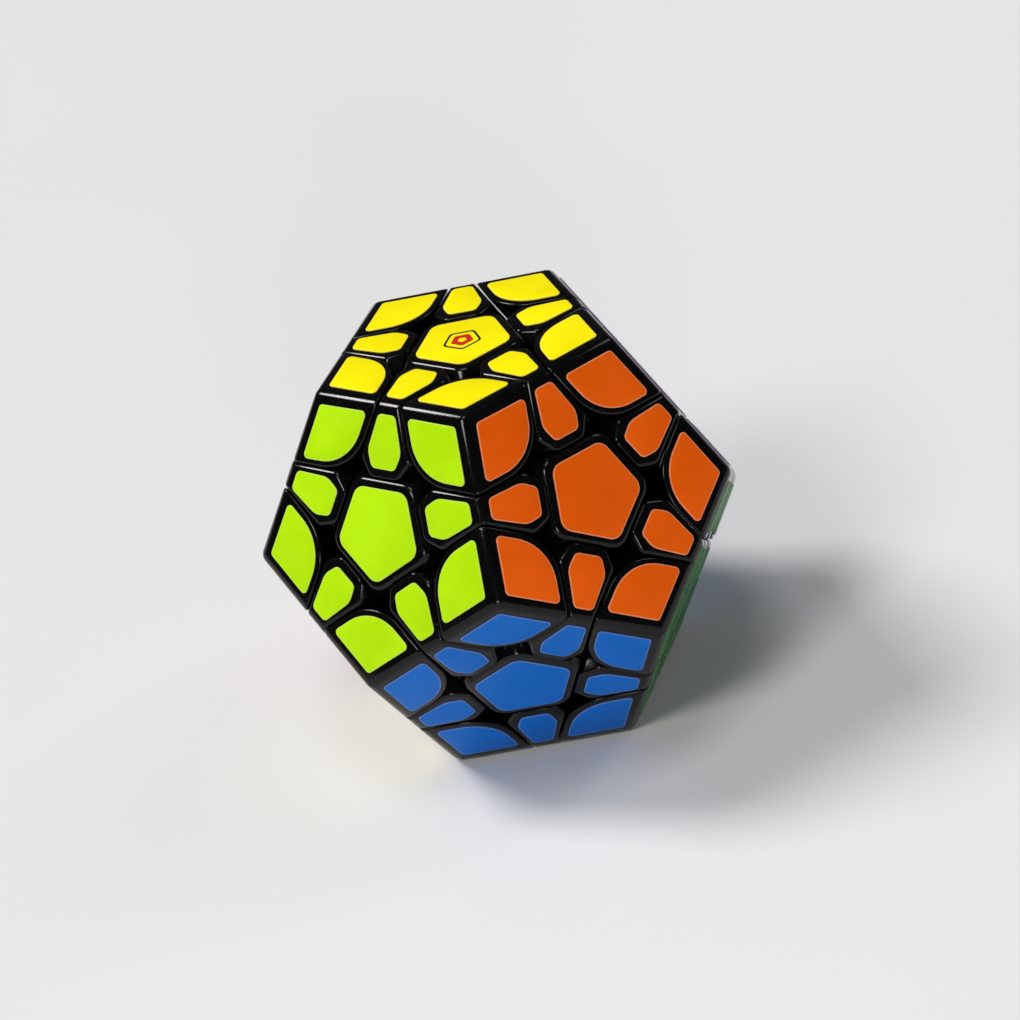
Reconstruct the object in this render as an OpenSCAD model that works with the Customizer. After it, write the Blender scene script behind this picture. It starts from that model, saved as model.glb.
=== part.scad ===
// Twelve-sided twisty puzzle: a dodecahedron cut by one plane per face into 12 centres, 30 edges and
// 20 corners, held on a core by sprung screws. The origin is the middle of the core and +Z leaves
// through the middle of the top face. The puzzle rests on the face opposite.

/* [Outside] */
// distance across two opposite faces, stickers included
across = 70; // [60:1:90]
// depth of a layer, from the face down to its cut plane
layer_depth = 11.74; // [10:0.02:13]
// visible gap between neighbouring pieces
piece_gap = 0.4; // [0.3:0.05:1.2]
// depth taken off the sharp edges of the dodecahedron
edge_break = 0.35; // [0.1:0.05:0.8]
// depth taken off the sharp corners of the dodecahedron
tip_break = 0.9; // [0.3:0.1:1.5]

/* [Stickers] */
// thickness of a sticker
sticker_t = 0.2; // [0.1:0.05:0.4]
// bare border between a sticker and the sharp edges of its corner piece
border_out = 2.1; // [1:0.1:3]
// bare border between a sticker and the cut sides of its corner piece
border_in = 1.5; // [0.8:0.1:2.5]
// distance from the middle of a centre sticker to its side
centre_sticker = 7.2; // [6:0.1:7.8]

/* [Mechanism] */
// radius where the flat cuts between layers end and the cones begin
shoulder_r = 31.3; // [30.5:0.1:32]
// radius of the top of the feet
foot_r = 23.2; // [22:0.1:24]
// radius of the bottom of the feet
foot_in = 14; // [13.6:0.1:16]
// radius of the ball of the core
core_r = 13.5; // [12:0.1:13.6]
// radius of the posts on the core
post_r = 3; // [2.6:0.1:3.4]
// radius of the screw shank
screw_r = 1.5; // [1.2:0.1:1.8]
// radial clearance of a centre on its screw
screw_fit = 0.05; // [0.02:0.01:0.1]

/* [Hidden] */
$fn = 64;
half_gap = piece_gap / 2;
top_r = across / 2;
face_r = top_r - sticker_t;
cut_r = top_r - layer_depth;
ring_tilt = acos(1 / sqrt(5));
edge_tilt = ring_tilt / 2;
tip_tilt = acos(sqrt((5 + 2 * sqrt(5)) / 15));
end_tilt = 90 - edge_tilt;
edge_to_tip = acos(cos(tip_tilt) / cos(edge_tilt));
edge_mid = face_r / cos(edge_tilt) - edge_break;
tip_mid = face_r / cos(tip_tilt) - tip_break;
big = 60;
step_r = foot_r + 0.45;
inner_r = shoulder_r + 0.2;

// Places of the cut lines on a face.
cut_line = (cut_r - top_r * cos(ring_tilt)) / sin(ring_tilt);
face_apothem = top_r * tan(edge_tilt);
face_tip = face_apothem / cos(36);
cut_tip = cut_line / cos(36);
side = (face_tip - cut_tip) / (2 * cos(54));

// Stack along a screw, measured from the middle of the core.
post_base = 8;
drill_z = 8.5;
point_z = 8.7;
point_h = 0.8;
post_top = 19.5;
flange_bottom = post_top + 0.1;
flange_top = 21.4;
washer_z = 26.2;
head_z = 26.8;
head_top = 28.8;
head_r = 2.7;
head_chamfer = 0.5;
washer_r = 2.9;
cavity_r = 3.2;
cap_z = 33;
plug_z = 30.8;
tube_z = 17.4;
tube_r = 4.4;
flare_angle = 20.8;
spring_r = 2.3;
wire_r = 0.28;
spring_turns = 4;

black = [0.06, 0.06, 0.065];
steel = [0.62, 0.63, 0.65];
ivory = [0.78, 0.77, 0.72];

function unit(v) = v / norm(v);
function ring(az, el) = [cos(el) * cos(az), cos(el) * sin(az), sin(el)];
up = 90 - ring_tilt;
UPPER = [for (k = [0:4]) ring(72 * k - 126, up)];
LOWER = [for (k = [0:4]) ring(72 * k - 90, -up)];
FACE = concat([[0, 0, 1]], UPPER, LOWER, [[0, 0, -1]]);
COLOUR_NAME = ["yellow", "lime", "orange", "purple", "white", "maroon", "blue", "green",
    "sky", "pink", "cream", "grey"];
COLOUR = [[1, 0.9, 0.02], [0.6, 0.85, 0.03], [0.9, 0.33, 0.03], [0.33, 0.12, 0.5],
    [0.93, 0.93, 0.92], [0.42, 0.04, 0.09], [0.02, 0.3, 0.68], [0.02, 0.33, 0.14],
    [0.35, 0.68, 0.9], [0.93, 0.45, 0.62], [0.94, 0.88, 0.66], [0.5, 0.51, 0.53]];

// The three layers that turn: no two of their faces touch. Everything else stays with the core.
LAYER = [0, 6, 8];
LAYER_NAME = ["top", "front", "rear", "body"];
function touch(a, b) = a != b && FACE[a] * FACE[b] > 0.4;
EDGES = [for (a = [0:11]) for (b = [a + 1:1:11]) if (touch(a, b)) [a, b]];
CORNERS = [for (e = EDGES) for (c = [e[1] + 1:1:11]) if (touch(e[0], c) && touch(e[1], c))
    [e[0], e[1], c]];
function has(p, f) = len([for (q = p) if (q == f) q]) > 0;
function layer_of(p) = has(p, LAYER[0]) ? 0 : has(p, LAYER[1]) ? 1 : has(p, LAYER[2]) ? 2 : 3;
function pick(list, n) = [for (p = list) if (layer_of(p) == n) p];
function mean(p) = len(p) == 1 ? FACE[p[0]] : len(p) == 2 ? unit(FACE[p[0]] + FACE[p[1]])
    : unit(FACE[p[0]] + FACE[p[1]] + FACE[p[2]]);
FACES_OF = [for (n = [0:3]) [for (f = [0:11])
    if (len([for (p = concat(pick([for (g = [0:11]) [g]], n), pick(EDGES, n), pick(CORNERS, n)))
        if (has(p, f)) 1]) > 0) f]];

// Stands the children on direction z, with their X leaning toward direction x.
module stand(z, x) {
    ux = unit(x - (x * z) * z);
    uy = cross(z, ux);
    multmatrix([[ux[0], uy[0], z[0], 0], [ux[1], uy[1], z[1], 0], [ux[2], uy[2], z[2], 0]])
        children();
}

module slab(z0, z1) {
    translate([-big, -big, z0])
        cube([2 * big, 2 * big, z1 - z0]);
}

// Frame of one of a piece's own faces, with X toward the piece, seen from the piece's axis.
module own_face(turn, tilt) {
    rotate([0, 0, turn])
        rotate([0, tilt, 0])
            rotate([0, 0, 180])
                children();
}

// Outline through the points p, each corner rounded to its radius in r.
function arc_points(c, s, e, n) = let (
    a0 = atan2(s[1] - c[1], s[0] - c[0]),
    d = atan2(e[1] - c[1], e[0] - c[0]) - a0,
    turn = d > 180 ? d - 360 : d < -180 ? d + 360 : d,
    rad = norm(s - c))
    [for (k = [0:n]) c + rad * [cos(a0 + turn * k / n), sin(a0 + turn * k / n)]];
function corner_arc(before, at, after, r, n) = let (
    d1 = unit(before - at),
    d2 = unit(after - at),
    half = acos(d1 * d2) / 2)
    arc_points(at + unit(d1 + d2) * r / sin(half), at + d1 * r / tan(half),
        at + d2 * r / tan(half), n);
function rounded(p, r, n) = [for (i = [0:len(p) - 1])
    each corner_arc(p[(i + len(p) - 1) % len(p)], p[i], p[(i + 1) % len(p)], r[i], n)];

// A point on the rhombus of a corner piece, from the inner corner along its two cut sides.
function rhomb(s, t) = [cut_tip + (s + t) * cos(54), (s - t) * sin(54)];

// The core: a ball with a post and a screw hole toward every face.
module core() {
    color(ivory)
        difference() {
            union() {
                sphere(core_r);
                for (f = FACE)
                    stand(f, [0.3, 0.5, 0.7])
                        translate([0, 0, post_base])
                            cylinder(r = post_r, h = post_top - post_base);
            }
            for (f = FACE)
                stand(f, [0.3, 0.5, 0.7])
                    translate([0, 0, drill_z])
                        cylinder(r = screw_r, h = post_top);
        }
}

module one_screw() {
    slot_long = 3.2;
    slot_wide = 0.7;
    slot_deep = 1.2;
    difference() {
        union() {
            translate([0, 0, point_z])
                cylinder(r1 = screw_r / 2, r2 = screw_r, h = point_h);
            translate([0, 0, point_z + point_h])
                cylinder(r = screw_r, h = head_z - point_z);
            translate([0, 0, head_z])
                cylinder(r = head_r, h = head_top - head_z - head_chamfer);
            translate([0, 0, head_top - head_chamfer])
                cylinder(r1 = head_r, r2 = head_r - head_chamfer, h = head_chamfer);
        }
        for (a = [0, 90])
            rotate([0, 0, a])
                translate([-slot_long / 2, -slot_wide / 2, head_top - slot_deep])
                    cube([slot_long, slot_wide, slot_deep + 1]);
    }
}

module screws() {
    color(steel)
        for (f = FACE)
            stand(f, [0.3, 0.5, 0.7])
                one_screw();
}

module washers() {
    color(steel)
        for (f = FACE)
            stand(f, [0.3, 0.5, 0.7])
                translate([0, 0, washer_z])
                    difference() {
                        cylinder(r = washer_r, h = head_z - washer_z);
                        translate([0, 0, -1])
                            cylinder(r = screw_r + screw_fit, h = 3);
                    }
}

// One coil spring, a square wire wound between the flange of the centre and the washer.
spring_steps = 12 * spring_turns;
spring_z0 = flange_top + wire_r + 0.05;
spring_rise = washer_z - flange_top - 2 * wire_r - 0.1;
spring_points = [for (k = [0:spring_steps]) for (q = [0:3])
    let (rad = spring_r + wire_r * cos(90 * q), a = 30 * k)
    [rad * cos(a), rad * sin(a), spring_z0 + spring_rise * k / spring_steps + wire_r * sin(90 * q)]];
spring_sides = [for (k = [0:spring_steps - 1]) for (q = [0:3])
    [4 * k + q, 4 * k + 4 + q, 4 * k + 4 + (q + 1) % 4, 4 * k + (q + 1) % 4]];
spring_ends = [[0, 1, 2, 3], [for (q = [3:-1:0]) 4 * spring_steps + q]];

module springs() {
    color(steel)
        for (f = FACE)
            stand(f, [0.3, 0.5, 0.7])
                polyhedron(points = spring_points, faces = concat(spring_sides, spring_ends));
}

// The five-sided block of a centre, between two heights, its corners rounded by a cone.
module pentagon_block(z0, z1) {
    round_off = 0.5;
    tip_top = (cut_line - half_gap) / cos(36) - round_off;
    tip_slope = tan(edge_tilt);
    difference() {
        translate([0, 0, z0])
            cylinder(r1 = tip_top + (top_r - z0) * tip_slope, r2 = tip_top + (top_r - z1) * tip_slope,
                h = z1 - z0);
        for (k = [0:4])
            rotate([0, 0, 72 * k])
                rotate([0, ring_tilt, 0])
                    slab(cut_r - half_gap, big);
    }
}

module centre_local() {
    step = step_r + 0.15;
    bottom_z = 27.5;
    lip_in = 14;
    lip_out = 17.4;
    collar_z = 32.2;
    collar_r = 8;
    skirt_z = 31;
    skirt_r = 9;
    difference() {
        pentagon_block(bottom_z, cap_z);
        sphere(inner_r);
        translate([0, 0, flange_top])
            cylinder(r = cavity_r, h = cap_z);
    }
    rotate_extrude()
        polygon([
            [post_r + 0.1, tube_z],
            [tube_r, tube_z],
            [tube_r, sqrt(step * step - tube_r * tube_r)],
            [step * sin(lip_in), step * cos(lip_in)],
            [step * sin(lip_out), step * cos(lip_out)],
            [step * sin(flare_angle), step * cos(flare_angle)],
            [shoulder_r * sin(flare_angle), shoulder_r * cos(flare_angle)],
            [skirt_r, skirt_z],
            [collar_r, collar_z],
            [cavity_r, collar_z],
            [cavity_r, flange_top],
            [screw_r + screw_fit, flange_top],
            [screw_r + screw_fit, flange_bottom],
            [post_r + 0.1, flange_bottom]]);
}

function first_touch(f) = [for (g = [0:11]) if (touch(f, g)) g][0];

module centre(f) {
    color(black)
        stand(FACE[f], FACE[first_touch(f)])
            centre_local();
}

module caps(n) {
    color(black)
        for (p = pick([for (g = [0:11]) [g]], n))
            stand(FACE[p[0]], FACE[first_touch(p[0])]) {
                pentagon_block(cap_z, face_r);
                translate([0, 0, plug_z])
                    difference() {
                        cylinder(r = cavity_r - 0.02, h = cap_z - plug_z + 0.5);
                        translate([0, 0, -1])
                            cylinder(r = cavity_r - 1, h = cap_z - plug_z + 1);
                    }
            }
}

// Wedge with its apex at the core, wider with height, for the foot of an edge.
module wedge(z0, z1, ax, ay) {
    tx = tan(ax);
    ty = tan(ay);
    corners = [[-1, -1], [1, -1], [1, 1], [-1, 1]];
    polyhedron(
        points = [for (z = [z0, z1]) for (c = corners) [c[0] * z * tx, c[1] * z * ty, z]],
        faces = [[0, 1, 2, 3], [7, 6, 5, 4], [0, 4, 5, 1], [1, 5, 6, 2], [2, 6, 7, 3], [3, 7, 4, 0]]);
}

module edge_local() {
    wing_x = 2.6;
    wing_y = 6.3;
    neck_y = 3;
    inner_end = 3;
    inner_wide = 4.6;
    shave_in = 8.2;
    shave_out = 11.85;
    shave_wide = 9;
    block_z = 27;
    wing_z = 22;
    neck_z = 20;
    foot_top = 25;
    foot_angle_x = 14.6;
    foot_angle_y = 9.2;
    difference() {
        intersection() {
            rotate([0, edge_tilt, 0])
                slab(cut_r + half_gap, face_r);
            rotate([0, -edge_tilt, 0])
                slab(cut_r + half_gap, face_r);
            slab(block_z, edge_mid);
        }
        for (a = [90, 270])
            rotate([0, 0, a])
                rotate([0, end_tilt, 0])
                    slab(cut_r - half_gap, 3 * big);
        sphere(inner_r);
        for (a = [0, 180])
            own_face(a, edge_tilt)
                for (s = [-1, 1])
                    translate([0, 0, 24])
                        linear_extrude(height = 20)
                            polygon([[shave_in, s * (inner_end - 0.45)], [shave_out, s * inner_wide],
                                [shave_out, s * shave_wide], [shave_in, s * shave_wide]]);
    }
    difference() {
        translate([-wing_x, -wing_y, wing_z])
            cube([2 * wing_x, 2 * wing_y, 10.9]);
        sphere(step_r);
    }
    translate([-wing_x, -neck_y, neck_z])
        cube([2 * wing_x, 2 * neck_y, 6]);
    intersection() {
        wedge(foot_in, foot_top, foot_angle_x, foot_angle_y);
        sphere(foot_r);
    }
}

module edges(n) {
    color(black)
        for (p = pick(EDGES, n))
            stand(mean(p), FACE[p[0]])
                edge_local();
}

module corner_local() {
    foot_angle = 9.8;
    foot_flat = 6.9;
    stem_r = 1.6;
    stem_top = 33;
    inner_round = 9.5;
    soft = corner_arc(rhomb(0, 9) + [half_gap, 0], rhomb(0, 0) + [half_gap / sin(54), 0],
        rhomb(9, 0) + [half_gap, 0], inner_round, 8);
    difference() {
        intersection() {
            rotate([0, tip_tilt, 0])
                slab(cut_r + half_gap, face_r);
            rotate([0, 0, 120])
                rotate([0, tip_tilt, 0])
                    slab(cut_r + half_gap, face_r);
            rotate([0, 0, 240])
                rotate([0, tip_tilt, 0])
                    slab(cut_r + half_gap, face_r);
            slab(20, tip_mid);
        }
        for (a = [60, 180, 300])
            rotate([0, 0, a])
                rotate([0, edge_to_tip, 0])
                    slab(edge_mid, big);
        for (a = [0, 120, 240])
            own_face(a, tip_tilt)
                translate([0, 0, 24])
                    linear_extrude(height = 20)
                        polygon(concat(soft, [soft[8] + [-8, 3], soft[0] + [-8, -3]]));
    }
    rotate_extrude()
        polygon([
            [0, foot_in],
            [foot_in * tan(foot_angle), foot_in],
            [foot_r * sin(foot_angle), foot_r * cos(foot_angle)],
            [foot_r * sin(foot_flat), foot_r * cos(foot_flat)],
            [stem_r, sqrt(foot_r * foot_r - stem_r * stem_r)],
            [stem_r, stem_top],
            [0, stem_top]]);
}

module corners(n) {
    color(black)
        for (p = pick(CORNERS, n))
            stand(mean(p), FACE[p[0]])
                corner_local();
}

// Stickers, drawn on a face with X toward their piece.
module centre_label() {
    linear_extrude(height = sticker_t)
        polygon(rounded([for (k = [0:4]) centre_sticker / cos(36) * [cos(72 * k + 36), sin(72 * k + 36)]],
            [2.2, 2.2, 2.2, 2.2, 2.2], 6));
}

module edge_label() {
    linear_extrude(height = sticker_t)
        polygon(rounded([[10.5, -2.4], [13.4, -3.5], [19.7, -1.75], [19.7, 1.75], [13.4, 3.5],
            [10.5, 2.4]], [1.1, 3.2, 1, 1, 3.2, 1.1], 5));
}

module corner_label() {
    near = border_in / sin(72);
    far = side - border_out / sin(72);
    linear_extrude(height = sticker_t)
        polygon(rounded([rhomb(near, near), rhomb(near, far), rhomb(far, far), rhomb(far, near)],
            [8.3, 0.8, 0.8, 0.8], 6));
}

module stickers(n, f) {
    color(COLOUR[f]) {
        if (has(pick([for (g = [0:11]) [g]], n), [f]))
            stand(FACE[f], FACE[first_touch(f)])
                translate([0, 0, face_r])
                    centre_label();
        for (p = pick(EDGES, n))
            if (has(p, f))
                stand(FACE[f], mean(p))
                    translate([0, 0, face_r])
                        edge_label();
        for (p = pick(CORNERS, n))
            if (has(p, f))
                stand(FACE[f], mean(p))
                    translate([0, 0, face_r])
                        corner_label();
    }
}

core();
screws();
springs();
washers();
for (f = [0:11])
    centre(f);
for (n = [0:3]) {
    caps(n);
    edges(n);
    corners(n);
    for (f = FACES_OF[n])
        stickers(n, f);
}
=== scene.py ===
import math
import random

import bmesh
import bpy
from mathutils import Matrix, Vector


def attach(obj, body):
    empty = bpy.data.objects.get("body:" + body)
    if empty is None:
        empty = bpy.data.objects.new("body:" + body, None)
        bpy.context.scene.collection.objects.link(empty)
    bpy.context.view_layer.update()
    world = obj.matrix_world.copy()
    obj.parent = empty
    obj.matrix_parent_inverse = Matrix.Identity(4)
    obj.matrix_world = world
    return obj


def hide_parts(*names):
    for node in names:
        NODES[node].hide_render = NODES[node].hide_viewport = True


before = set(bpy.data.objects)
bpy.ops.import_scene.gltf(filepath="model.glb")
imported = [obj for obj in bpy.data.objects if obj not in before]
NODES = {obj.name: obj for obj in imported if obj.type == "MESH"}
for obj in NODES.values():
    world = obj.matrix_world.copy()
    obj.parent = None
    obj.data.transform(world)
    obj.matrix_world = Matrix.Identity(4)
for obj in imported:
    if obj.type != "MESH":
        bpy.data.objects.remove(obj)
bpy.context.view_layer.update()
MM = 0.001

# ---------------------------------------------------------------- sizes, in mm, as in the CAD
TOP = 35.0                      # sticker tops, from the core
FACE = 34.8                     # plastic faces
CUT = 23.26                     # cut planes
GAP = 0.12                      # half the gap between pieces
FOOT_TOP = 23.2                 # top of the feet under corners and edges
FOOT_IN = 14.0                  # bottom of the feet
CAP_BASE = 33.0                 # where a centre's cap sits on the centre
CAP_PLUG = 3.18                 # radius of the plug under a cap
EDGE_BASE = 31.0                # bottom of an edge's block
ROUND = 1.15                    # widest rounding of a ridge, measured along a face
CENTRE_STICKER = 7.2            # from the middle of a centre sticker to its side
BORDER_IN = 1.5                 # black border of a corner sticker, beside the cuts
BORDER_OUT = 2.1                # the same beside the sharp edges
EDGE_STICKER = [(10.5, -2.4), (13.4, -3.5), (19.7, -1.75), (19.7, 1.75), (13.4, 3.5), (10.5, 2.4)]
SWING_AT = 36.0                 # a loose piece tilts about this height over the core
TILT = math.degrees(math.acos(1 / math.sqrt(5)))
EDGE_TILT = TILT / 2
TIP_TILT = math.degrees(math.acos(math.sqrt((5 + 2 * math.sqrt(5)) / 15)))
END_TILT = 90 - EDGE_TILT
C36 = math.cos(math.radians(36))
C54, S54 = math.cos(math.radians(54)), math.sin(math.radians(54))
C72, S72 = math.cos(math.radians(72)), math.sin(math.radians(72))


def on_face(offset, z):
    """Distance from a face's axis, at height z, of a neighbour's plane that lies offset from the core."""
    t = math.radians(TILT)
    return (offset - z * math.cos(t)) / math.sin(t)


# ---------------------------------------------------------------- the twelve faces
def ring(az, el):
    a, e = math.radians(az), math.radians(el)
    return Vector((math.cos(e) * math.cos(a), math.cos(e) * math.sin(a), math.sin(e)))


UP = 90 - TILT
NORMALS = ([Vector((0, 0, 1))] + [ring(72 * k - 126, UP) for k in range(5)]
           + [ring(72 * k - 90, -UP) for k in range(5)] + [Vector((0, 0, -1))])
COLOURS = ["yellow", "lime", "orange", "purple", "white", "maroon", "blue", "green",
           "sky", "pink", "cream", "grey"]
LAYERS = {0: "top", 6: "front", 8: "rear"}
BODY_OF = {"top": "top_layer", "front": "front_layer", "rear": "rear_layer",
           "body": "core_and_rest"}


def touch(a, b):
    return a != b and NORMALS[a].dot(NORMALS[b]) > 0.4


CENTRES = [(f,) for f in range(12)]
EDGES = [(a, b) for a in range(12) for b in range(a + 1, 12) if touch(a, b)]
CORNERS = [(a, b, c) for a, b in EDGES for c in range(b + 1, 12) if touch(a, c) and touch(b, c)]


def layer(piece):
    found = [LAYERS[f] for f in piece if f in LAYERS]
    return found[0] if found else "body"


def mean(piece):
    return sum((NORMALS[f] for f in piece), Vector()).normalized()


def stand(z, toward):
    """Rotation that puts +Z along z and leans +X toward a direction."""
    x = (toward - toward.dot(z) * z).normalized()
    y = z.cross(x)
    return Matrix((x, y, z)).transposed().to_4x4()


# ---------------------------------------------------------------- outlines on a face
def arc_corner(before, at, after, radius, n):
    """Points of the rounded corner at a point between two others."""
    b, p, a = Vector(before), Vector(at), Vector(after)
    d1, d2 = (b - p).normalized(), (a - p).normalized()
    half = math.acos(max(-1, min(1, d1.dot(d2)))) / 2
    c = p + (d1 + d2).normalized() * radius / math.sin(half)
    s, e = p + d1 * radius / math.tan(half), p + d2 * radius / math.tan(half)
    a0 = math.atan2(s.y - c.y, s.x - c.x)
    turn = math.atan2(e.y - c.y, e.x - c.x) - a0
    turn = (turn + math.pi) % (2 * math.pi) - math.pi
    return [c + radius * Vector((math.cos(a0 + turn * k / n), math.sin(a0 + turn * k / n)))
            for k in range(n + 1)]


def rounded(points, radii, n):
    """Outline through the points, each corner rounded to its radius."""
    out = []
    for i, (p, r) in enumerate(zip(points, radii)):
        out += arc_corner(points[i - 1], p, points[(i + 1) % len(points)], r, n)
    return out


def pentagon(apothem):
    """Corners of a five-sided outline whose sides lie at that distance from its middle."""
    return [(apothem / C36 * math.cos(math.radians(72 * k + 36)),
             apothem / C36 * math.sin(math.radians(72 * k + 36))) for k in range(5)]


def distinct(points):
    """The points without repeats."""
    out = []
    for p in points:
        if all((p - q).length > 1e-3 for q in out):
            out.append(p)
    return out


def rot(turn, tilt):
    """A face's own frame inside a piece's frame, with X toward the piece."""
    return (Matrix.Rotation(math.radians(turn), 4, "Z") @ Matrix.Rotation(math.radians(tilt), 4, "Y")
            @ Matrix.Rotation(math.pi, 4, "Z"))


# ---------------------------------------------------------------- mesh tools
def hull(bm, points):
    """Closed convex block round the points, with its flat faces merged."""
    made = [bm.verts.new(p) for p in points]
    got = bmesh.ops.convex_hull(bm, input=made)
    loose = [v for v in made if v.is_valid and not v.link_faces]
    bmesh.ops.delete(bm, geom=loose, context="VERTS")
    faces = [g for g in got["geom"] if isinstance(g, bmesh.types.BMFace) and g.is_valid]
    verts = dict.fromkeys(v for f in faces for v in f.verts)
    edges = dict.fromkeys(e for f in faces for e in f.edges)
    bmesh.ops.dissolve_limit(bm, angle_limit=math.radians(0.4), use_dissolve_boundaries=False,
                             verts=list(verts), edges=list(edges))


def lathe(bm, profile, steps=40):
    """Closed solid of revolution about Z from (radius, height) points that start and end on the axis."""
    rings = []
    for r, z in profile:
        if r < 1e-6:
            rings.append([bm.verts.new((0, 0, z))])
        else:
            rings.append([bm.verts.new((r * math.cos(2 * math.pi * k / steps),
                                        r * math.sin(2 * math.pi * k / steps), z))
                          for k in range(steps)])
    for low, high in zip(rings, rings[1:]):
        for k in range(steps):
            a, b = low[k % len(low)], low[(k + 1) % len(low)]
            c, d = high[(k + 1) % len(high)], high[k % len(high)]
            quad = [v for i, v in enumerate((a, b, c, d)) if v not in (a, b, c, d)[:i]]
            if len(quad) > 2:
                bm.faces.new(quad)


def weigh(bm, face_dirs, ridge, rim):
    """Bevel weights: ridge where two faces of the puzzle meet, rim on the other sides of a face."""
    weights = bm.edges.layers.float.new("bevel_weight_edge")
    for e in bm.edges:
        n = sum(all(abs(v.co.dot(d) - FACE) < 1e-3 for v in e.verts) for d in face_dirs)
        e[weights] = (0.0, rim, ridge)[min(n, 2)]


def add_object(name, data):
    o = bpy.data.objects.new(name, data)
    bpy.context.scene.collection.objects.link(o)
    return o


def to_mesh(bm, name, *materials):
    """Mesh with its normals outward and its materials in order."""
    bmesh.ops.recalc_face_normals(bm, faces=bm.faces[:])
    mesh = bpy.data.meshes.new(name)
    bm.to_mesh(mesh)
    bm.free()
    for mat in materials:
        mesh.materials.append(mat)
    return mesh


def as_object(bm, name):
    """Object in metres from a mesh in millimetres."""
    mesh = to_mesh(bm, name)
    mesh.transform(Matrix.Scale(MM, 4))
    return add_object(name, mesh)


def finish_mesh(block, name, under):
    """The block with its weighted edges rounded, joined into one shell with the parts under it."""
    o = as_object(block, name)
    mod = o.modifiers.new("round", "BEVEL")
    mod.limit_method = "WEIGHT"
    mod.width = ROUND * MM
    mod.segments = 4
    mod.offset_type = "OFFSET"
    mod.use_clamp_overlap = True
    mod.miter_outer = "MITER_ARC"
    helpers = [as_object(bm, name + "_part") for bm in under]
    for h in helpers:
        join = o.modifiers.new("join", "BOOLEAN")
        join.operation = "UNION"
        join.solver = "EXACT"
        join.object = h
    bpy.context.view_layer.update()
    done = bpy.data.meshes.new_from_object(o.evaluated_get(bpy.context.evaluated_depsgraph_get()))
    for gone in [o] + helpers:
        bpy.data.objects.remove(gone)
    done.name = name
    for p in done.polygons:
        p.use_smooth = True
    done.set_sharp_from_angle(angle=math.radians(38))
    return done


# ---------------------------------------------------------------- the three kinds of block
def corner_mesh():
    """Corner piece: a block with three kite-shaped faces, on a stem and a flared foot."""
    cove, setback = 9.5, 2.4                # round inner corner, and where it ends below the face
    bm = bmesh.new()
    near = on_face(CUT + GAP, FACE) / C36
    far = FACE * math.tan(math.radians(TIP_TILT))
    side = (far - near) / (2 * C54)
    a, b = (near + side * C54, side * S54), (near + side * C54, -side * S54)
    arc = arc_corner(a, (near, 0), b, cove, 12)
    tip = Vector((0, 0, (CUT + GAP) / math.cos(math.radians(TIP_TILT))))
    points, dirs = [], []
    for turn in (0, 120, 240):
        m = rot(turn, TIP_TILT)
        dirs.append((m @ Vector((0, 0, 1, 0))).to_3d())
        points += [m @ Vector((p[0], p[1], FACE)) for p in [(far, 0), a, b] + [tuple(q) for q in arc]]
        inner_corner = m @ Vector((near, 0, FACE))
        points.append(tip + (inner_corner - tip).normalized() * setback)
    hull(bm, distinct(points))
    weigh(bm, dirs, 1.0, 0.54)
    lean, flat, stem = math.radians(9.8), math.radians(6.9), 1.6
    under = bmesh.new()
    lathe(under, [(0, FOOT_IN), (FOOT_IN * math.tan(lean) - 0.4, FOOT_IN),
                  (FOOT_IN * math.tan(lean), FOOT_IN + 0.35),
                  (FOOT_TOP * math.sin(lean) - 0.12, FOOT_TOP * math.cos(lean) - 0.45),
                  (FOOT_TOP * math.sin(lean) - 0.45, FOOT_TOP * math.cos(lean) - 0.05),
                  (FOOT_TOP * math.sin(flat), FOOT_TOP * math.cos(flat)),
                  (stem + 0.3, FOOT_TOP - 0.1), (stem, FOOT_TOP + 0.3), (stem, 32), (0, 32)])
    return finish_mesh(bm, "corner_shape", [under])


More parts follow.
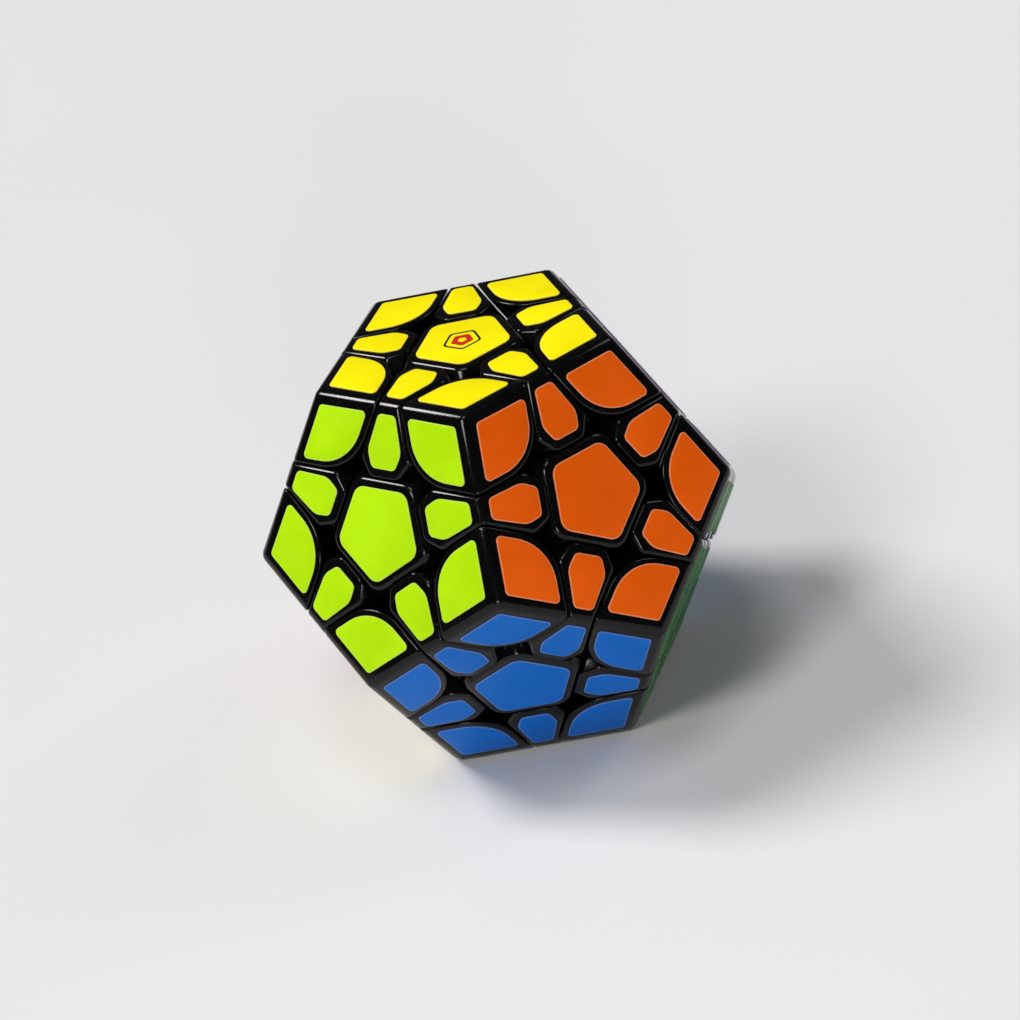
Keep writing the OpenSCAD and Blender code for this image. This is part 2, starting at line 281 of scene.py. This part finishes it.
def edge_mesh():
    """Edge piece: a ridge with two faces that widen to a bend, on a neck, wings and a foot."""
    bend, nose = 12.1, 2.75                 # where the face is widest, and half its inner end
    bm = bmesh.new()
    inner = on_face(CUT + GAP, FACE)
    line = on_face(CUT - GAP, FACE)                 # X cos72 + Y sin72 along the end planes
    outer = FACE * math.tan(math.radians(EDGE_TILT))

    def y_at(x):
        return (line - x * C72) / S72
    top = rounded([(inner, -nose), (bend, -y_at(bend)), (outer, -y_at(outer)), (outer, y_at(outer)),
                   (bend, y_at(bend)), (inner, nose)], [1.5, 1.8, 0, 0, 1.8, 1.5], 5)
    points, dirs = [], []
    for turn in (0, 180):
        m = rot(turn, EDGE_TILT)
        dirs.append((m @ Vector((0, 0, 1, 0))).to_3d())
        points += [m @ Vector((p[0], p[1], FACE)) for p in top]
    e, end = math.radians(EDGE_TILT), math.radians(END_TILT)
    wide = (EDGE_BASE * math.cos(e) - CUT - GAP) / math.sin(e)
    long = (CUT - GAP - EDGE_BASE * math.cos(end)) / math.sin(end)
    for sx in (-1, 1):
        for sy in (-1, 1):
            points += [Vector((sx * wide, sy * (long - 1.3), EDGE_BASE)),
                       Vector((sx * (wide - 0.8), sy * long, EDGE_BASE))]
    hull(bm, distinct(points))
    weigh(bm, dirs, 1.0, 0.46)
    under = []

    def part(points):
        under.append(bmesh.new())
        hull(under[-1], points)

    def box(x, y, z0, z1):
        part([Vector((sx * x, sy * y, z)) for sx in (-1, 1) for sy in (-1, 1) for z in (z0, z1)])
    box(2.6, 6.3, 23.8, 31.6)               # wings
    box(2.5, 3.0, 22.0, 25.0)               # neck
    ta, tb = math.tan(math.radians(14.6)), math.tan(math.radians(9.2))
    part([Vector((sx * ta * FOOT_IN, sy * tb * FOOT_IN, FOOT_IN)) for sx in (-1, 1) for sy in (-1, 1)]
         + [Vector((i / 4 * ta, j / 3 * tb, 1)).normalized() * (FOOT_TOP - 0.05)
            for i in range(-4, 5) for j in range(-3, 4)])
    return finish_mesh(bm, "edge_shape", under)


def cap_mesh():
    """Cap of a centre: a five-sided lid with a round plug."""
    bm = bmesh.new()
    points = []
    for z, r in ((FACE, 3.0), (CAP_BASE, 2.7)):
        outline = rounded(pentagon(on_face(CUT - GAP, z)), [r] * 5, 6)
        points += [Vector((p[0], p[1], z)) for p in outline]
    hull(bm, points)
    weigh(bm, [Vector((0, 0, 1))], 1.0, 0.5)
    under = bmesh.new()
    lathe(under, [(0, 30.8), (CAP_PLUG - 0.18, 30.8), (CAP_PLUG, 31.0), (CAP_PLUG, CAP_BASE + 0.2),
                  (0, CAP_BASE + 0.2)])
    return finish_mesh(bm, "cap_shape", [under])


# ---------------------------------------------------------------- stickers
def sticker_outline(kind):
    """Outline on a face, with X from the middle of the face toward the piece."""
    if kind == "centre":
        return rounded(pentagon(CENTRE_STICKER), [2.2] * 5, 10)
    if kind == "edge":
        return rounded(EDGE_STICKER, [1.1, 3.2, 1.0, 1.0, 3.2, 1.1], 8)
    cut = on_face(CUT, TOP) / C36
    tip = TOP * math.tan(math.radians(EDGE_TILT)) / C36
    near, far = BORDER_IN / S72, (tip - cut) / (2 * C54) - BORDER_OUT / S72

    def at(s, t):
        return (cut + (s + t) * C54, (s - t) * S54)
    return rounded([at(near, near), at(near, far), at(far, far), at(far, near)], [8.3, 0.8, 0.8, 0.8], 12)


def add_sticker(bm, kind, place, rng):
    """One die-cut sticker: a coloured top with a soft rim over a paler cut edge."""
    pts = sticker_outline(kind)
    if sum(a.x * b.y - b.x * a.y for a, b in zip(pts, pts[1:] + pts[:1])) < 0:
        pts.reverse()
    centre = sum(pts, Vector((0, 0))) / len(pts)
    shift = Vector((rng.uniform(-0.08, 0.08), rng.uniform(-0.08, 0.08)))
    twist = math.radians(rng.uniform(-0.7, 0.7))
    turn = Matrix.Rotation(twist, 2)
    pts = [centre + shift + turn @ (p - centre) for p in pts]
    n = len(pts)
    inward = []
    for i in range(n):
        d = (pts[(i + 1) % n] - pts[i - 1]).normalized()
        inward.append(Vector((-d.y, d.x)))
    levels = [(0.0, FACE - 0.01), (0.0, TOP - 0.06), (0.19, TOP - 0.012), (0.25, TOP)]
    rings = []
    for inset, z in levels:
        rings.append([bm.verts.new(place @ Vector((p.x + w.x * inset, p.y + w.y * inset, z)) * MM)
                      for p, w in zip(pts, inward)])
    for lv in range(3):
        for i in range(n):
            j = (i + 1) % n
            f = bm.faces.new([rings[lv][i], rings[lv][j], rings[lv + 1][j], rings[lv + 1][i]])
            f.material_index = 1 if lv < 2 else 0
    top = bm.faces.new(rings[3])
    top.material_index = 0
    bottom = bm.faces.new(list(reversed(rings[0])))
    bottom.material_index = 1


# ---------------------------------------------------------------- materials
PAPER = (0.85, 0.64, 0.4)       # linear colour of a sticker's cut backing


def srgb(c):
    """Linear colour from 0 to 255 values."""
    return tuple(x / 12.92 / 255 if x <= 10.31475 else ((x / 255 + 0.055) / 1.055) ** 2.4
                 for x in c) + (1,)


class Nodes:
    """Small helper that makes and links shader nodes."""

    def __init__(self, name):
        self.mat = bpy.data.materials.new(name)
        self.mat.use_nodes = True
        self.tree = self.mat.node_tree
        self.bsdf = self.tree.nodes["Principled BSDF"]
        coord = self.tree.nodes.new("ShaderNodeTexCoord")
        self.place = coord.outputs["Object"]

    def make(self, kind, inputs=None, **settings):
        node = self.tree.nodes.new("ShaderNode" + kind)
        for k, v in settings.items():
            setattr(node, k, v)
        for k, v in (inputs or {}).items():
            if isinstance(v, bpy.types.NodeSocket):
                self.tree.links.new(v, node.inputs[k])
            else:
                node.inputs[k].default_value = v
        return node

    def noise(self, scale, detail=4.0, rough=0.55, stretch=None):
        vec = self.place
        if stretch:
            vec = self.make("Mapping", {"Vector": vec, "Scale": stretch[0],
                                        "Rotation": stretch[1]}).outputs[0]
        return self.make("TexNoise", {"Vector": vec, "Scale": scale, "Detail": detail,
                                      "Roughness": rough}).outputs["Fac"]

    def span(self, value, lo, hi, a=0.0, b=1.0):
        return self.make("MapRange", {"Value": value, "From Min": lo, "From Max": hi,
                                      "To Min": a, "To Max": b}).outputs[0]

    def mix(self, fac, a, b):
        return self.make("Mix", {0: fac, 6: a, 7: b}, data_type="RGBA").outputs[2]

    def math(self, op, a, b):
        return self.make("Math", {0: a, 1: b}, operation=op).outputs[0]

    def link(self, out, name):
        self.tree.links.new(out, self.bsdf.inputs[name])

    def bump(self, height, strength, distance):
        b = self.make("Bump", {"Height": height, "Strength": strength, "Distance": distance})
        self.link(b.outputs[0], "Normal")


def scratches(n, turns, scale, low, high):
    """Thin handling scratches in a few directions, from stretched noise."""
    total = None
    for k, (a, b, c) in enumerate(turns):
        s = n.noise(scale * (1 + 0.17 * k), 2.0, 0.5, ((1, 22, 1), (a, b, c)))
        s = n.span(s, low, high)
        total = s if total is None else n.math("MAXIMUM", total, s)
    return total


def black_plastic():
    n = Nodes("black_plastic")
    dust = n.noise(420, 5, 0.6)
    fine = n.noise(5200, 3, 0.5)
    marks = scratches(n, [(0.3, 0.9, 0.2), (1.4, 0.2, 2.1), (2.2, 1.3, 0.7)], 330, 0.67, 0.74)
    base = n.mix(n.span(dust, 0.35, 0.75), srgb((3, 3, 4)), srgb((8, 8, 9)))
    n.link(n.mix(n.math("MULTIPLY", marks, 0.5), base, srgb((34, 34, 37))), "Base Color")
    rough = n.span(n.noise(95, 4, 0.6), 0.3, 0.7, 0.09, 0.17)
    n.link(n.math("ADD", rough, n.math("MULTIPLY", marks, 0.14)), "Roughness")
    n.bsdf.inputs["Specular IOR Level"].default_value = 0.26
    n.bump(n.math("ADD", n.math("MULTIPLY", fine, 0.6), n.math("MULTIPLY", n.noise(900, 3, 0.5), 1.0)),
           0.25, 0.00002)
    return n.mat


def sticker_film(name, colour):
    n = Nodes("sticker_" + name)
    c = srgb(colour)
    warm = tuple(min(1, x * 1.05 + 0.004) for x in c[:3]) + (1,)
    cool = tuple(x * 0.9 for x in c[:3]) + (1,)
    base = n.mix(n.span(n.noise(70, 4, 0.55), 0.3, 0.7), cool, warm)
    grain = n.span(n.noise(2600, 3, 0.6), 0.35, 0.7)
    base = n.mix(n.math("MULTIPLY", grain, 0.10), base, tuple(x * 0.72 for x in c[:3]) + (1,))
    marks = scratches(n, [(0.5, 1.1, 0.4), (1.9, 0.5, 1.2)], 260, 0.69, 0.76)
    pale = tuple(x * 0.8 + 0.16 for x in c[:3]) + (1,)
    n.link(n.mix(n.math("MULTIPLY", marks, 0.22), base, pale), "Base Color")
    rough = n.span(n.noise(160, 4, 0.6), 0.3, 0.7, 0.3, 0.42)
    n.link(n.math("ADD", rough, n.math("MULTIPLY", marks, 0.15)), "Roughness")
    n.bsdf.inputs["Specular IOR Level"].default_value = 0.11
    n.bump(n.math("ADD", n.noise(1500, 3, 0.5), n.math("MULTIPLY", n.noise(5000, 2, 0.5), 0.5)),
           0.22, 0.000025)
    return n.mat


def sticker_rim(name, colour):
    """The die-cut edge, where the clear top film and the backing show paler than the print."""
    n = Nodes("sticker_edge_" + name)
    c = srgb(colour)
    pale = 0.35 if name == "orange" else 0.14
    a = tuple(x * (1 - pale) + pale * w for x, w in zip(c[:3], PAPER)) + (1,)
    b = tuple(x * 0.8 + pale / 2 * w for x, w in zip(c[:3], PAPER)) + (1,)
    n.link(n.mix(n.span(n.noise(900, 3, 0.6), 0.3, 0.7), a, b), "Base Color")
    n.link(n.span(n.noise(1400, 3, 0.6), 0.3, 0.7, 0.4, 0.6), "Roughness")
    n.bump(n.noise(3000, 2, 0.5), 0.2, 0.00002)
    return n.mat


def ivory_plastic():
    n = Nodes("core_plastic")
    n.link(n.mix(n.span(n.noise(120, 4, 0.6), 0.3, 0.7), srgb((196, 192, 178)), srgb((212, 209, 197))),
           "Base Color")
    n.link(n.span(n.noise(260, 4, 0.6), 0.3, 0.7, 0.42, 0.58), "Roughness")
    n.bump(n.noise(2500, 3, 0.5), 0.3, 0.00003)
    return n.mat


def steel():
    n = Nodes("steel")
    brushed = n.noise(900, 3, 0.6, ((1, 1, 14), (0.2, 0.1, 0)))
    n.link(n.mix(n.span(brushed, 0.3, 0.7), srgb((158, 160, 164)), srgb((196, 198, 202))), "Base Color")
    n.bsdf.inputs["Metallic"].default_value = 1.0
    n.link(n.span(brushed, 0.3, 0.7, 0.24, 0.4), "Roughness")
    n.bump(brushed, 0.2, 0.00002)
    return n.mat


def ink(name, colour):
    n = Nodes("ink_" + name)
    c = srgb(colour)
    n.link(n.mix(n.span(n.noise(1200, 4, 0.6), 0.3, 0.7), c, tuple(x * 0.8 + 0.01 for x in c[:3]) + (1,)),
           "Base Color")
    n.link(n.span(n.noise(700, 3, 0.6), 0.3, 0.7, 0.34, 0.46), "Roughness")
    n.bump(n.noise(3000, 2, 0.5), 0.15, 0.00001)
    return n.mat


STICKER_RGB = {
    "yellow": (252, 236, 2), "lime": (172, 221, 2), "orange": (240, 95, 2), "purple": (86, 34, 128),
    "white": (236, 236, 232), "maroon": (122, 14, 28), "blue": (0, 102, 196), "green": (8, 112, 52),
    "sky": (104, 184, 232), "pink": (240, 128, 170), "cream": (242, 228, 176), "grey": (136, 138, 142)}
BLACK, IVORY, STEEL = black_plastic(), ivory_plastic(), steel()
FILM = {c: sticker_film(c, rgb) for c, rgb in STICKER_RGB.items()}
RIM = {c: sticker_rim(c, rgb) for c, rgb in STICKER_RGB.items()}

# ---------------------------------------------------------------- the plastic pieces
rng = random.Random(12)


def place_piece(shape, name, piece, kind):
    """One plastic piece on its body, with the hair of play that loose pieces show."""
    mesh = shape.copy()
    mesh.name = name
    axis = mean(piece)
    home = stand(axis, NORMALS[piece[0]] if kind != "cap" else
                 next(NORMALS[g] for g in range(12) if touch(piece[0], g)))
    play = 0.12 if kind != "cap" else 0.06
    wobble = (Matrix.Rotation(math.radians(rng.uniform(-play, play)), 4, "X")
              @ Matrix.Rotation(math.radians(rng.uniform(-play, play)), 4, "Y")
              @ Matrix.Rotation(math.radians(rng.uniform(-play, play)), 4, "Z"))
    about = (Matrix.Translation((0, 0, SWING_AT * MM)) @ wobble
             @ Matrix.Translation((0, 0, -SWING_AT * MM)))
    mesh.transform(home @ about)
    mesh.materials.append(BLACK)
    o = add_object(name, mesh)
    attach(o, BODY_OF[layer(piece)])
    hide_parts(kind + "s_" + layer(piece))
    return home @ about


SHAPES = {"cap": cap_mesh(), "edge": edge_mesh(), "corner": corner_mesh()}
MOVED = {}
for kind, pieces in (("cap", CENTRES), ("edge", EDGES), ("corner", CORNERS)):
    for p in pieces:
        MOVED[p] = place_piece(SHAPES[kind], kind + "_" + "_".join(COLOURS[f] for f in p), p, kind)
for shape in SHAPES.values():
    bpy.data.meshes.remove(shape)

# ---------------------------------------------------------------- stickers, one object per layer and colour
for name, node in NODES.items():
    if not name.startswith("stickers_"):
        continue
    body, colour = name.split("_")[1:]
    f = COLOURS.index(colour)
    bm = bmesh.new()
    for kind, pieces in (("centre", CENTRES), ("edge", EDGES), ("corner", CORNERS)):
        for p in pieces:
            if f in p and layer(p) == body:
                toward = mean(p) if len(p) > 1 else next(NORMALS[g] for g in range(12) if touch(f, g))
                rest = stand(mean(p), NORMALS[p[0]]) if kind != "centre" else stand(NORMALS[f], toward)
                follow = MOVED[p] @ rest.inverted()
                follow.translation = follow.translation / MM
                add_sticker(bm, kind, follow @ stand(NORMALS[f], toward),
                            random.Random(f * 100 + sum(p) * 7 + len(p)))
    mesh = to_mesh(bm, name + "_film", FILM[colour], RIM[colour])
    mesh.set_sharp_from_angle(angle=math.radians(40))
    o = add_object(name + "_film", mesh)
    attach(o, BODY_OF[body])
    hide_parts(name)

# ---------------------------------------------------------------- a plain printed mark on the top centre


def printed(name, rings, colour, z):
    """Flat printed shapes, each ring between two five-sided outlines."""
    bm = bmesh.new()
    place = MOVED[(0,)]
    for outer, inner in rings:
        loops = []
        for size, h in ((outer, z - 0.02), (outer, z), (inner, z), (inner, z - 0.02)):
            pts = rounded(pentagon(size), [size * 0.3] * 5, 6)
            loops.append([bm.verts.new(place @ (Vector((p.x, p.y, h)) * MM)) for p in pts])
        for i in range(4):
            a, b = loops[i], loops[(i + 1) % 4]
            for k in range(len(a)):
                bm.faces.new([a[k], a[(k + 1) % len(a)], b[(k + 1) % len(a)], b[k]])
    o = add_object(name, to_mesh(bm, name, ink(name, colour)))
    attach(o, BODY_OF["top"])


printed("mark_outer_ring", [(2.9, 2.5)], (30, 24, 20), TOP + 0.02)
printed("mark_inner_ring", [(1.7, 0.7)], (214, 30, 22), TOP + 0.02)

# ---------------------------------------------------------------- CAD nodes that stay
for name, node in NODES.items():
    mat = (IVORY if name == "core" else STEEL if name in ("screws", "springs", "washers")
           else BLACK if name.startswith("centre_") else None)
    if mat:
        node.data.materials.clear()
        node.data.materials.append(mat)

# ---------------------------------------------------------------- floor, light and camera


def pale_floor():
    n = Nodes("floor")
    n.link(n.mix(n.span(n.noise(3, 3, 0.5), 0.3, 0.7), (0.72, 0.72, 0.73, 1), (0.76, 0.76, 0.765, 1)),
           "Base Color")
    n.bsdf.inputs["Roughness"].default_value = 0.6
    return n.mat


bm = bmesh.new()
bmesh.ops.create_grid(bm, x_segments=8, y_segments=8, size=6)
floor = add_object("floor", to_mesh(bm, "floor", pale_floor()))
floor.location.z = -(TOP + 0.08) * MM


def soft_light(name, az, el, angle, power, colour=(1, 1, 1)):
    """A far, wide studio lamp: the same light all over the floor."""
    light = bpy.data.lights.new(name, "SUN")
    light.angle = math.radians(angle)
    light.energy = power
    light.color = colour
    o = add_object(name, light)
    o.location = ring(az, el)
    o.rotation_euler = (-o.location).to_track_quat("-Z", "Y").to_euler()


soft_light("key", 160, 50, 18, 2.15, (1, 0.99, 0.97))
soft_light("left", -125, 44, 17, 1.1, (1, 0.985, 0.96))
soft_light("top", -110, 80, 23, 0.58)
soft_light("front", -84, 12, 16, 0.66, (0.97, 0.985, 1))
soft_light("back", 20, 45, 21, 0.28)

# The backdrop is as pale as the floor, and adds only a little light of its own.
world = bpy.data.worlds.new("studio")
world.use_nodes = True
tree = world.node_tree
dim = tree.nodes["Background"]
dim.inputs[0].default_value = (0.95, 0.97, 1, 1)
dim.inputs[1].default_value = 0.06
pale = tree.nodes.new("ShaderNodeBackground")
pale.inputs[0].default_value = (0.78, 0.78, 0.79, 1)
seen = tree.nodes.new("ShaderNodeLightPath")
both = tree.nodes.new("ShaderNodeMixShader")
tree.links.new(seen.outputs["Is Camera Ray"], both.inputs[0])
tree.links.new(dim.outputs[0], both.inputs[1])
tree.links.new(pale.outputs[0], both.inputs[2])
tree.links.new(both.outputs[0], tree.nodes["World Output"].inputs[0])
bpy.context.scene.world = world
bpy.context.scene.view_settings.view_transform = "Standard"

camera_data = bpy.data.cameras.new("camera")
camera_data.lens = 125.483
camera_data.sensor_width = 36
camera_data.clip_start = 0.01
camera = add_object("camera", camera_data)
right = Vector((0.97979318, -0.01509537, -0.19944286))
upward = Vector((0.17967497, 0.50452629, 0.844494))
back = Vector((0.08787622, -0.86326436, 0.49704368))
view = Matrix((right, upward, back)).transposed().to_4x4()
view.translation = Vector((0.05563048, -0.53403114, 0.30810607))
camera.matrix_world = view
bpy.context.scene.camera = camera
